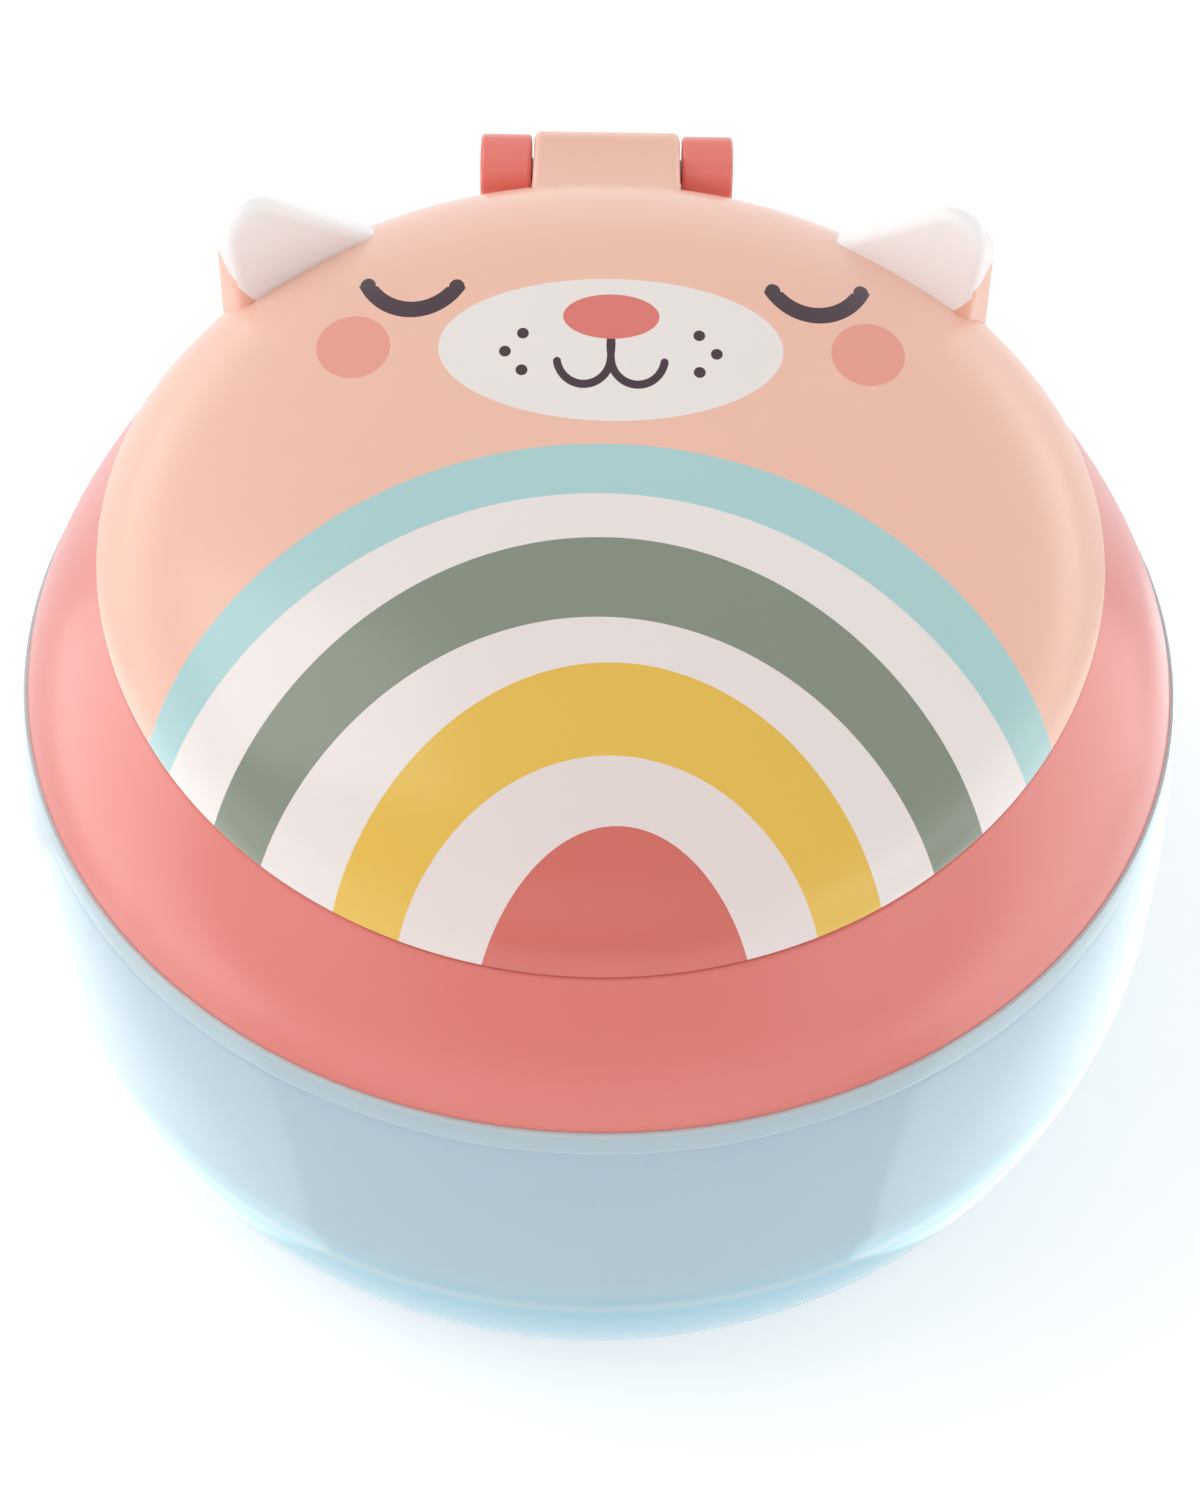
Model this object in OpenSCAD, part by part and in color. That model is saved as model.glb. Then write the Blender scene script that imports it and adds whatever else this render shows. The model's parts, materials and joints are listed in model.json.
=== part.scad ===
// Toddler snack container: a round translucent jar, a screw collar that clamps a ring of
// soft flaps, and a hinged face lid with two ears. Millimetres, +Z up, -Y is the front.
// The origin is the centre of the foot ring on the table.

/* [Body] */
// Widest diameter of the round body
body_w = 114; // [110:0.5:120]
// Height of the widest section
belt_h = 21; // [19:0.1:24]
// Height above the belt at which the belly's curve would close
belly_h = 56; // [52:0.5:60]
// Fullness of the belly above the belt, 2 is an ellipse
belly_power = 2.95; // [2.6:0.05:3.2]
// Diameter at the edge of the flat underside
base_w = 98.6; // [94:0.2:102]
// Fullness of the bowl below the belt, 2 is an ellipse
base_power = 1.6; // [1.5:0.1:2.4]

/* [Bowl] */
// Wall of the translucent bowl
bowl_wall = 1.8; // [1.4:0.1:2.4]
// Height of the shoulder where the collar lands
seam_h = 45.5; // [44:0.1:46.5]
// Height of the raised band under the seam
band_h = 2.4; // [1:0.1:4]
// How far the band stands out of the profile
band_proud = 0.25; // [0.1:0.05:0.5]
// Recess under the floor, inside the foot ring
foot_h = 1; // [0.6:0.1:2]
// Width of the foot ring's flat
foot_ring = 4; // [2.5:0.5:8]

/* [Collar] */
// Lean of the collar's wall at the seam, inwards for each mm of height
foot_lean = 0.27; // [0.15:0.01:0.35]
// Lean of the collar's wall at its top
top_lean = 0.6; // [0.5:0.01:0.7]
// Wall of the collar at the top of its bore, where it is thinnest
collar_wall = 2; // [1.6:0.1:3]
// Width of the collar's top edge at the sides
edge_w = 3.4; // [2.5:0.1:4]
// Gap between the neck and the collar's bore, taken up by the quick thread
thread_gap = 1.2; // [0.8:0.1:1.4]
// Thickness of the ledge that clamps the flap ring and carries the lid
ledge_t = 1.7; // [1.2:0.1:2.4]
// Width of the landing under the lid's skirt
landing = 2.4; // [1.8:0.1:3]

/* [Lid] */
// Height of the parting line at the sides
rim_h = 62.1; // [61:0.1:64]
// Sweep radius of the parting line, which drops to the front and rear
rim_sweep = 375; // [280:5:600]
// Hairline between the lid and the collar
rim_gap = 0.3; // [0.2:0.05:0.5]
// How far the lid's edge stands past the collar at the sides
rim_step = 0.4; // [0:0.05:0.6]
// Height of the crown of the lid
crown_h = 74.7; // [73:0.1:78]
// Depth of the foot of the dome's curve below the parting line
dome_drop = 13.3; // [12:0.1:15]
// How far the foot of the dome's curve lies in from the widest section
dome_in = 7.5; // [6.5:0.1:8.5]
// Fullness of the dome, 2 is an ellipse
dome_power = 2.95; // [2.5:0.05:3.2]
// Wall of the lid
lid_wall = 2; // [1.6:0.1:2.6]
// Depth of the lid's skirt below the parting line at the front
skirt_h = 3.2; // [2.4:0.1:4]
// Thickness of the skirt
skirt_t = 1.6; // [1.2:0.1:2]
// How far the snap bead stands out of the skirt
bead = 0.2; // [0.1:0.05:0.25]
// Height of the snap bead above the skirt's lower edge
bead_h = 1.5; // [1:0.1:2]

/* [Hinge] */
// Depth of the hinge axis below the parting line at the sides
hinge_drop = 2.3; // [2:0.1:3.2]
// Gap between the lid's knuckle and the line of the collar's wall
hinge_gap = 0.85; // [0.2:0.05:1.2]
// Width of the lid's knuckle
knuckle_w = 15; // [12:0.5:18]
// Radius of the lid's knuckle
knuckle_r = 4; // [3.6:0.05:4.1]
// Width of each collar lug
lug_w = 5.25; // [4.5:0.25:6]
// Radius of the collar's lugs
lug_r = 3.65; // [3.2:0.05:3.7]
// Diameter of the steel hinge pin
pin_d = 2.5; // [2:0.1:3]
// How far the pin's ends lie inside the lugs
pin_inset = 0.4; // [0.2:0.1:0.8]
// How far the lug's gusset reaches down below the axis
gusset_h = 10; // [8:0.5:12]

/* [Flaps] */
// Number of soft flaps
flap_count = 6;
// Thickness of the flap ring
ring_t = 2; // [1.6:0.1:2.6]
// Thickness of each flap
flap_t = 1.2; // [0.8:0.1:1.4]
// Distance from the collar's mouth in to a flap's bending line
flap_seat = 12; // [10:0.5:14]
// Radius of the hole left between the flap tips
tip_hole = 6; // [4:0.5:8]
// Width of the slit between two flaps
slit = 0.7; // [0.5:0.1:1.2]
// Depth of the lip that centres the flap ring in the neck
lip_h = 2.5; // [2:0.1:3]
// Thickness of that lip
lip_t = 2; // [1.5:0.1:2.5]

/* [Ears] */
// Height of the ear's tip above its root
ear_h = 8.7; // [7.5:0.1:10]
// Reach of the ear's upright edge to the outer side of its root
ear_out = 7.5; // [6.5:0.1:8.5]
// Reach of the ear's foot to the inner side of its root
ear_foot = 11.7; // [10:0.1:13]
// Radius of the ear's tip
ear_tip = 3.8; // [3:0.1:4.2]
// Radius of the ear's two feet
ear_heel = 1.5; // [1:0.1:2]
// Thickness of the ear at its tip
ear_tip_t = 2.4; // [2:0.1:3]
// Thickness of the ear at its root
ear_t = 5.5; // [4:0.1:7]
// Easing of the ear's front and back edges
ear_ease = 0.9; // [0.6:0.1:1]
// How deep the ear reaches below its root, into the dome
ear_deep = 6; // [5:0.5:8]
// Distance of the ear's root in from the lid's edge
ear_in = 6.5; // [5:0.1:8]
// Angle from the side of the lid to the ear's root
ear_side = 44; // [38:0.5:50]
// Turn of the ear about the vertical
ear_turn = 33; // [20:1:45]
// Backward lean of the ear
ear_lean = 15; // [5:1:25]

/* [Hidden] */
$fn = 96;

// Clearances
fit_gap = 0.3;      // between faces that only pass each other
run_gap = 0.05;     // pin in the knuckle
side_gap = 0.25;    // knuckle to lug
bend_gap = 0.2;     // flap bead to ring

// Steps along the curved profiles
steps = 20;
over = 1;           // how far a cutting solid runs past what it cuts
slope_step = 0.01;  // height over which a profile's slope is taken

body_r = body_w / 2;
base_r = base_w / 2;
seam_r = belly_r(seam_h);

// Foot of the curve of the lid's dome
dome_r = body_r - dome_in;
dome_foot = rim_h - dome_drop;

// Parting line: its radius at the sides, and its height at the front and rear
rim_r = lid_r(rim_h) - rim_step;
rim_low = rim_h - rim_sweep + sqrt(rim_sweep * rim_sweep - rim_r * rim_r);

// Lid's skirt in the collar's seat, from the rim inwards
seat_r = rim_r - edge_w;
skirt_r = seat_r - fit_gap;
skirt_in = skirt_r - skirt_t;
mouth_r = seat_r - landing;

// Ledge, flap ring and neck, from the rim down
ledge_top = rim_low - skirt_h;
bead_z = ledge_top + bead_h;
ring_top = ledge_top - ledge_t;
neck_top = ring_top - ring_t;
bend_z = neck_top + ring_t / 2;
flap_reach = mouth_r - flap_seat;

// Bore, ring and neck, from the collar's wall inwards
collar_bore = collar_r(ring_top) - collar_wall;
ring_r = collar_bore - fit_gap;
neck_r = collar_bore - thread_gap;
neck_in = neck_r - bowl_wall;

// Hinge
hinge_z = rim_h - hinge_drop;
hinge_y = collar_r(hinge_z) + knuckle_r + hinge_gap;
relief_r = knuckle_r + fit_gap;
lug_x = knuckle_w / 2 + side_gap;
lug_end = lug_x + lug_w;
lug_in = sqrt(pow(collar_r(rim_low), 2) - lug_end * lug_end);  // where a lug's end meets the wall
tab_fall = 8;       // how far under the axis the tab runs into the knuckle, in degrees
pin_r = pin_d / 2;
pin_l = 2 * (lug_end - pin_inset);

// Root of an ear on the dome
ear_r = rim_r - ear_in;
ear_root = [ear_r * cos(ear_side), ear_r * sin(ear_side), dome_z(ear_r)];

// Radius of the bowl's belly at a height above the belt
function belly_r(z) = body_r
    * pow(1 - pow(max(0, z - belt_h) / belly_h, belly_power), 1 / belly_power);

// Radius of the collar's outside: a cubic from the bowl at the seam to the rim at the sides
function collar_r(z) = let (rise = rim_h - seam_h, t = (z - seam_h) / rise, s = 1 - t)
    seam_r * s * s * (1 + 2 * t) + rim_r * t * t * (3 - 2 * t)
        - foot_lean * rise * t * s * s + top_lean * rise * t * t * s;

// Radius of the lid's outside
function lid_r(z) = dome_r * pow(1 - pow(max(0, z - dome_foot) / (crown_h - dome_foot), dome_power),
    1 / dome_power);

// Height of the lid's outside at a radius
function dome_z(r) = dome_foot + (crown_h - dome_foot)
    * pow(1 - pow(r / dome_r, dome_power), 1 / dome_power);

// Points of the belly and of the collar between two heights
function belly_line(z0, z1) = [for (i = [0:steps]) let (z = z0 + (z1 - z0) * i / steps) [belly_r(z), z]];
function collar_line(z0, z1) = [for (i = [0:steps]) let (z = z0 + (z1 - z0) * i / steps) [collar_r(z), z]];

// Points of a bowl curve from the floor's edge to the belt
function lower_line(r_edge, r_belt, z_floor) = [for (i = [0:steps])
    let (a = 90 - 90 * i / steps)
    [r_edge + (r_belt - r_edge) * pow(cos(a), 2 / base_power),
     belt_h - (belt_h - z_floor) * pow(sin(a), 2 / base_power)]];

// Points of a dome from the crown down to a height, moved square to the outside by a wall
function dome_line(wall, z_low) = [for (i = [0:steps])
    let (a = 90 * i / steps, z = crown_h - (crown_h - z_low) * (1 - cos(a)),
        z_up = min(crown_h, z + slope_step), z_down = z_up - slope_step,
        fall = lid_r(z_down) - lid_r(z_up), slant = norm([fall, slope_step]))
    [max(0, lid_r(z) - wall * slope_step / slant), z - wall * fall / slant]];

// Translucent jar: foot ring, full belly, raised band, shoulder and plain neck
module bowl() {
    inner_floor = foot_h + bowl_wall;
    band_z = seam_h - band_h;
    rows = concat(
        [[0, foot_h], [base_r - foot_ring - foot_h, foot_h], [base_r - foot_ring, 0]],
        lower_line(base_r, body_r, 0),
        belly_line(belt_h, band_z),
        [[belly_r(band_z) + band_proud, band_z], [seam_r + band_proud, seam_h],
         [neck_r, seam_h], [neck_r, neck_top], [neck_in, neck_top],
         [neck_in, seam_h - bowl_wall]],
        [for (p = belly_line(seam_h - 2 * bowl_wall, belt_h)) [p[0] - bowl_wall, p[1]]],
        [for (i = [1:steps])
            lower_line(base_r - bowl_wall, body_r - bowl_wall, inner_floor)[steps - i]],
        [[0, inner_floor]]);
    color("#a9cfe0", 0.6) rotate_extrude() polygon(rows);
}

// The half of the body below the swept parting line
module below_rim(gap) {
    translate([0, 0, rim_h - rim_sweep]) rotate([0, 90, 0])
        cylinder(r = rim_sweep + gap, h = 2 * body_w, center = true, $fn = 720);
}

// A round bar along X through the hinge axis
module hinge_bar(r, w) {
    translate([0, hinge_y, hinge_z]) rotate([0, 90, 0]) cylinder(r = r, h = w, center = true);
}

// An outline in Y and Z carried across X
module across(w) {
    rotate([90, 0, 90]) linear_extrude(w, center = true) children();
}

// One lug of the collar: an eye for the pin on a gusset that runs down the wall
module lug(side) {
    gusset_z = hinge_z - gusset_h;
    translate([side * (lug_x + lug_w / 2), 0, 0]) {
        hinge_bar(lug_r, lug_w);
        across(lug_w) polygon([[hinge_y - lug_r, hinge_z], [hinge_y + lug_r, hinge_z],
            [collar_r(gusset_z), gusset_z], [lug_in, gusset_z], [lug_in, rim_low - over]]);
    }
}

// Screw collar: skin in line with the bowl, ledge over the flap ring, seat for the lid
module collar() {
    top = rim_h + over;
    skin = concat([[collar_bore, seam_h]], collar_line(seam_h, top),
        [[mouth_r, top], [mouth_r, ring_top], [collar_bore, ring_top]]);
    color("#df7d77") difference() {
        union() {
            intersection() {
                rotate_extrude() polygon(skin);
                below_rim(0);
            }
            lug(-1);
            lug(1);
        }
        translate([0, 0, ledge_top]) cylinder(r = seat_r, h = top);
        translate([0, 0, seam_h - over]) cylinder(r = collar_bore, h = ring_top - seam_h + over);
        rotate_extrude() polygon([[seat_r - over, bead_z - 2 * bead],
            [seat_r, bead_z - 2 * bead], [seat_r + bead, bead_z], [seat_r, bead_z + 2 * bead],
            [seat_r - over, bead_z + 2 * bead]]);
        hinge_bar(relief_r, 2 * lug_x);
        hinge_bar(pin_r, 2 * (lug_end + over));
    }
}

// Steel pin pressed through both lugs
module hinge_pin() {
    color("#c9ccd0") hinge_bar(pin_r, pin_l);
}

// Soft ring between the neck and the ledge, with a lip that centres it in the neck
module flap_ring() {
    hole_r = (flap_reach + flap_t / 2 + bend_gap) / cos(180 / flap_count);
    lip_r = neck_in - fit_gap;
    color("#f4efe9") {
        difference() {
            translate([0, 0, neck_top]) cylinder(r = ring_r, h = ring_t);
            translate([0, 0, neck_top - over]) rotate(180 / flap_count)
                cylinder(r = hole_r, h = ring_t + 2 * over, $fn = flap_count);
        }
        translate([0, 0, neck_top - lip_h]) difference() {
            cylinder(r = lip_r, h = lip_h);
            translate([0, 0, -over]) cylinder(r = lip_r - lip_t, h = lip_h + over);
        }
    }
}

// One soft flap: a petal hung from a round bead along its bending line
module flap(i) {
    half = 180 / flap_count;
    root = flap_reach * tan(half) - slit / cos(half);
    tip = tip_hole * tan(half) - slit / cos(half) / 2;
    bead_l = 2 * (root - flap_t);
    color("#f4efe9") rotate(i * 360 / flap_count) translate([0, 0, bend_z]) {
        translate([flap_reach, 0, 0]) rotate([90, 0, 0])
            cylinder(r = flap_t / 2, h = bead_l, center = true, $fn = 24);
        translate([0, 0, -flap_t / 2]) linear_extrude(flap_t)
            polygon([[flap_reach, bead_l / 2], [flap_reach - flap_t, root - flap_t * tan(half)],
                [tip_hole, tip], [tip_hole, -tip],
                [flap_reach - flap_t, flap_t * tan(half) - root], [flap_reach, -bead_l / 2]]);
    }
}

// The ball of the lid's outside, down past the lowest part of its edge
module dome_ball() {
    z_low = rim_h - body_r * body_r / rim_sweep;
    rotate_extrude() polygon(concat([[0, crown_h]], dome_line(0, z_low), [[0, z_low]]));
}

// Outside of the lid above the parting line
module lid_dome() {
    difference() {
        dome_ball();
        below_rim(rim_gap);
    }
}

// Lid: domed shell, skirt that drops into the collar, tab and knuckle at the rear
module lid_shell() {
    color("#fbd0bb") difference() {
        union() {
            lid_dome();
            translate([0, 0, ledge_top]) cylinder(r = skirt_r, h = rim_h + over - ledge_top);
            rotate_extrude() polygon([[skirt_in + bead, bead_z - 2 * bead],
                [skirt_r, bead_z - 2 * bead], [skirt_r + bead, bead_z],
                [skirt_r, bead_z + 2 * bead], [skirt_in + bead, bead_z + 2 * bead]]);
            hinge_bar(knuckle_r, knuckle_w);
            across(knuckle_w) polygon([[skirt_r, rim_h - over], [skirt_r, rim_h + knuckle_r],
                [hinge_y, hinge_z + knuckle_r], [hinge_y, hinge_z],
                [hinge_y - knuckle_r * cos(tab_fall), hinge_z - knuckle_r * sin(tab_fall)]]);
        }
        intersection() {
            rotate_extrude() polygon(concat([[0, crown_h - lid_wall]],
                dome_line(lid_wall, rim_h - over), [[0, rim_h - over]]));
            cylinder(r = skirt_in, h = crown_h);
        }
        translate([0, 0, ring_top]) cylinder(r = skirt_in, h = rim_h - ring_top);
        hinge_bar(pin_r + run_gap, knuckle_w + 2 * over);
    }
}

// A round corner post of an ear, its front and back edges eased: place beside and above the
// root, radius and thickness
module ear_post(beside, above, r, t) {
    translate([beside, above, -t]) {
        cylinder(r = r - ear_ease, h = t, $fn = 32);
        translate([0, 0, ear_ease]) cylinder(r = r, h = t - 2 * ear_ease, $fn = 32);
    }
}

// Upright outline of an ear: steep outer edge, round tip, long slope to the crown
module ear_blade() {
    outer = ear_heel - ear_out;
    inner = ear_foot - ear_heel;
    hull() {
        ear_post(ear_tip - ear_out, ear_h - ear_tip, ear_tip, ear_tip_t);
        for (beside = [outer, inner], above = [-ear_heel, -ear_deep])
            ear_post(beside, above, ear_heel, ear_t);
    }
}

// One ear, cut to seat on the dome: side is -1 for the left and 1 for the right
module ear(side) {
    color("#f7ded2") difference() {
        mirror([side > 0 ? 1 : 0, 0, 0]) translate([-ear_root.x, ear_root.y, ear_root.z])
            rotate(ear_turn) rotate([-ear_lean, 0, 0]) rotate([90, 0, 0]) ear_blade();
        dome_ball();
        below_rim(rim_gap + fit_gap);
    }
}

bowl();
collar();
hinge_pin();
flap_ring();
flap(0);  // flap_1
flap(1);  // flap_2
flap(2);  // flap_3
flap(3);  // flap_4
flap(4);  // flap_5
flap(5);  // flap_6
lid_shell();
ear(-1);  // ear_left
ear(1);  // ear_right
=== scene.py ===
# %% [markdown]
# A toddler's snack container is a round jar of translucent plastic. A coral collar screws on it
# and clamps a ring of soft flaps, and a peach lid with two ears swings up on a hinge at the rear.
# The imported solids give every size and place. This script makes the finished pieces round them:
# rounded edges, prints, threads and plastics, all in the same frame.

import json
import math

import bpy
from mathutils import Matrix, Vector

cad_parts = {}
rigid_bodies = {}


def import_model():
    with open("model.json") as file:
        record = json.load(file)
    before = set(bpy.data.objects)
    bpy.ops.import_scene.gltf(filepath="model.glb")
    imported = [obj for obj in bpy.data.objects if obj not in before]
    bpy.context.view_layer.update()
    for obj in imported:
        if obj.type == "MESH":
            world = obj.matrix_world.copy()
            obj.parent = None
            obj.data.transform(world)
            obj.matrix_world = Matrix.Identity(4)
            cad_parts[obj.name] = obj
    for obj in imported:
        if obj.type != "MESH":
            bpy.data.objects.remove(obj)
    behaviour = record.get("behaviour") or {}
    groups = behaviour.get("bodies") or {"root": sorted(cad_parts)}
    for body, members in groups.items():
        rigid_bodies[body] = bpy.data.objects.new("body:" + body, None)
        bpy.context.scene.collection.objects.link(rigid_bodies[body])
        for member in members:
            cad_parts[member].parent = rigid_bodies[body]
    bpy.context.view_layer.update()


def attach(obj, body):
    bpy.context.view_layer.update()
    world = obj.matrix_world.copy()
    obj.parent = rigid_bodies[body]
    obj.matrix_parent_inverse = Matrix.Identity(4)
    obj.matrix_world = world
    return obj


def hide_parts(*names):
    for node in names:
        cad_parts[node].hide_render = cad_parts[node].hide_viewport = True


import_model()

# %% [markdown]
# The camera stands in front of the face and well above it, as a hand would reach for the jar.
# A long lens keeps the round body round. Its roll and its shift are small, and only there
# because a hand-held camera is never quite level or centred. A constraint could aim it, but a
# matrix worked out once leaves nothing live in the file.

# %% Camera
MM = 0.001
PHOTO_HEIGHT = 1500
FOCAL_PIXELS = 3300
SENSOR = 36.0
EYE = Vector((0, -208.1, 289.8)) * MM
AIM = Vector((0, -12.63, 45.46)) * MM
ROLL = math.radians(0.863)
SHIFT_PIXELS = 2.14

lens = bpy.data.cameras.new("camera")
lens.sensor_fit = "VERTICAL"
lens.sensor_height = SENSOR
lens.lens = FOCAL_PIXELS / PHOTO_HEIGHT * SENSOR
lens.shift_x = SHIFT_PIXELS / PHOTO_HEIGHT
camera = bpy.data.objects.new("camera", lens)
bpy.context.scene.collection.objects.link(camera)
look = (AIM - EYE).to_track_quat("-Z", "Y").to_matrix().to_4x4()
camera.matrix_world = Matrix.Translation(EYE) @ look @ Matrix.Rotation(ROLL, 4, "Z")
bpy.context.scene.camera = camera
bpy.context.scene.view_settings.view_transform = "Standard"
print("lens in mm:", round(lens.lens, 1))

# %% [markdown]
# Two curves of the same kind make the bowl's belly and the dome of the lid: an ellipse with
# fuller shoulders. They could be traced as points, but a formula stays smooth at any height and
# gives the radius wherever another piece needs it. All lengths from here on are in millimetres.

# %% Outside of the bowl and the lid
BODY_R = 57.0
BELT_Z = 21.0
BELLY_H = 56.0
BELLY_POWER = 2.95
BASE_R = 49.3
BASE_POWER = 1.6
BOWL_WALL = 1.8
SEAM_Z = 45.5
RIM_Z = 62.1
CROWN_Z = 74.7
DOME_R = BODY_R - 7.5
DOME_FOOT = RIM_Z - 13.3
DOME_POWER = 2.95
LID_WALL = 2.0


def belly(z):
    """Radius of the bowl at a height above the belt."""
    share = max(0.0, z - BELT_Z) / BELLY_H
    return BODY_R * (1 - share ** BELLY_POWER) ** (1 / BELLY_POWER)


def lid_outside(z):
    """Radius of the lid's dome."""
    share = min(1.0, max(0.0, z - DOME_FOOT) / (CROWN_Z - DOME_FOOT))
    return DOME_R * (1 - share ** DOME_POWER) ** (1 / DOME_POWER)


def dome_height(radius):
    """Height of the lid's dome at a radius."""
    share = (1 - (radius / DOME_R) ** DOME_POWER) ** (1 / DOME_POWER)
    return DOME_FOOT + (CROWN_Z - DOME_FOOT) * share


print("radius at the seam:", round(belly(SEAM_Z), 2), "and at the rim:", round(lid_outside(RIM_Z), 2))

# %% [markdown]
# The collar leans in from the seam to the rim on a cubic curve. The lid's edge above it is
# swept: it lies lower at the front and the rear than at the sides, on a large circle seen from
# the side. The gap between the two is a hairline in front and opens a little at the sides.

# %% Collar and the swept edge
FOOT_LEAN = 0.27
TOP_LEAN = 0.6
RIM_STEP = 0.4
RIM_SWEEP = 375.0
RIM_GAP = 0.12
SIDE_GAP = 0.2
TRIES = 20
SEAM_R = belly(SEAM_Z)
RIM_R = lid_outside(RIM_Z) - RIM_STEP


def collar_outside(z):
    """Radius of the collar: a cubic from the bowl at the seam to the rim at the sides."""
    rise = RIM_Z - SEAM_Z
    t = (z - SEAM_Z) / rise
    s = 1 - t
    return (SEAM_R * s * s * (1 + 2 * t) + RIM_R * t * t * (3 - 2 * t)
            - FOOT_LEAN * rise * t * s * s + TOP_LEAN * rise * t * t * s)


def parting(y, gap=0.0):
    """Height of the swept line between the collar and the lid."""
    return RIM_Z - RIM_SWEEP + math.sqrt((RIM_SWEEP + gap) ** 2 - y * y)


def lid_gap(angle):
    """Gap between the collar and the lid at an angle round the jar."""
    return RIM_GAP + SIDE_GAP * math.cos(angle) ** 2


def rim_height(angle, radius, gap=0.0):
    """Where the parting line meets an outside, found by trying again from the last answer."""
    z = RIM_Z
    for _ in range(TRIES):
        z = parting(radius(z) * math.sin(angle), gap)
    return z


print("the edge lies", round(RIM_Z - parting(RIM_R), 2), "mm lower in front than at the sides")

# %% [markdown]
# The inside follows from the outside: the lid's seat, the ledge, the soft ring and the neck
# each take their size from a neighbour and a wall or a fit, and change with it.

# %% Sizes inside
RIM_WIDTH = 3.4
SEAT_DEPTH = 3.2
SKIRT_FIT = 0.3
SKIRT_WALL = 1.6
LEDGE_WIDTH = 2.4
LEDGE_WALL = 1.7
RING_WALL = 2.0
RING_FIT = 0.3
COLLAR_WALL = 2.0
THREAD_ROOM = 1.2
HINGE_DROP = 2.3
HINGE_REACH = 4.85
RIM_LOW = parting(RIM_R)
SEAT_R = RIM_R - RIM_WIDTH
SKIRT_R = SEAT_R - SKIRT_FIT
SKIRT_IN = SKIRT_R - SKIRT_WALL
MOUTH_R = SEAT_R - LEDGE_WIDTH
LEDGE_TOP = RIM_LOW - SEAT_DEPTH
RING_TOP = LEDGE_TOP - LEDGE_WALL
NECK_TOP = RING_TOP - RING_WALL
COLLAR_BORE = collar_outside(RING_TOP) - COLLAR_WALL
RING_R = COLLAR_BORE - RING_FIT
NECK_R = COLLAR_BORE - THREAD_ROOM
NECK_IN = NECK_R - BOWL_WALL
HINGE_Z = RIM_Z - HINGE_DROP
HINGE_Y = collar_outside(HINGE_Z) + HINGE_REACH
print("neck:", round(NECK_R, 2), "mm, hinge at", round(HINGE_Y, 2), round(HINGE_Z, 2))

# %% [markdown]
# A section is a list of points (radius, height). Round stretches come from the curves above, and
# moulded plastic has no sharp edge. So each corner of an outline may carry a trim length, and
# the corner is then eased off by a short curve between the two points that far from it. A trim
# takes a little less than half of an edge at most, so that two of them never cross.

# %% Outlines
TRIM_MOST = 0.48


def lower_curve(edge_r, belt_r, floor_z, steps=26):
    """Points of the bowl from the edge of its floor up to the belt."""
    points = []
    for i in range(steps + 1):
        a = math.pi / 2 * (1 - i / steps)
        reach = max(0.0, math.cos(a)) ** (2 / BASE_POWER)
        drop = max(0.0, math.sin(a)) ** (2 / BASE_POWER)
        points.append((edge_r + (belt_r - edge_r) * reach, BELT_Z - (BELT_Z - floor_z) * drop))
    return points


def upper_curve(low_z, high_z, radius, inset=0.0, steps=16):
    """Points of an outside between two heights, moved in by an inset."""
    rows = [low_z + (high_z - low_z) * i / steps for i in range(steps + 1)]
    return [(radius(z) - inset, z) for z in rows]


def rounded(corners, closed=False, steps=4):
    """An outline in which a corner (x, y, trim) is eased off over its trim."""
    points = []
    count = len(corners)
    for i, corner in enumerate(corners):
        here = Vector(corner[:2])
        trim = corner[2] if len(corner) > 2 else 0
        if not trim or (not closed and i in (0, count - 1)):
            points.append(here)
            continue
        before = Vector(corners[i - 1][:2]) - here
        after = Vector(corners[(i + 1) % count][:2]) - here
        start = here + before.normalized() * min(trim, before.length * TRIM_MOST)
        end = here + after.normalized() * min(trim, after.length * TRIM_MOST)
        for k in range(steps + 1):
            t = k / steps
            points.append(start * (1 - t) ** 2 + here * 2 * t * (1 - t) + end * t ** 2)
    return points


print("an eased corner takes", len(rounded([(0, 0), (1, 0, 0.2), (1, 1)])) - 2, "points")

# %% [markdown]
# An operator acts on all that is selected, so everything is deselected before a piece is made.
# A new mesh has doubled points where it closes on itself. They are merged, the faces are turned
# outwards, and round stretches are shaded smooth.

# %% Cleaning a mesh
SMOOTH_ANGLE = 35
DOUBLED = 0.002
SLIVER = 0.001


def deselect():
    """Leaves nothing selected, so that an operator acts only on what is made next."""
    if bpy.context.object and bpy.context.object.mode != "OBJECT":
        bpy.ops.object.mode_set(mode="OBJECT")
    bpy.ops.object.select_all(action="DESELECT")


def clean(piece, smooth_angle=SMOOTH_ANGLE):
    """Closes seams and poles, turns the faces outwards and smooths the round stretches."""
    bpy.ops.object.mode_set(mode="EDIT")
    bpy.ops.mesh.select_all(action="SELECT")
    bpy.ops.mesh.remove_doubles(threshold=DOUBLED * MM)
    bpy.ops.mesh.dissolve_degenerate(threshold=SLIVER * MM)
    bpy.ops.mesh.normals_make_consistent(inside=False)
    bpy.ops.object.mode_set(mode="OBJECT")
    bpy.ops.object.shade_smooth_by_angle(angle=math.radians(smooth_angle))
    return piece


print("faces are smooth below", SMOOTH_ANGLE, "degrees")

# %% [markdown]
# Nearly every part of the jar is turned, so its mesh is a grid wrapped round the axis. A lathe
# or the spin operator gives each turn the same section, but here the lid's edge rises and falls
# round the jar. So the section is asked for at every angle, and the rows of the mesh follow it.
# The same grid, with its two ends filled, makes the ears and the threads.

# %% Turned and lofted pieces
TURNS = 240


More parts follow.
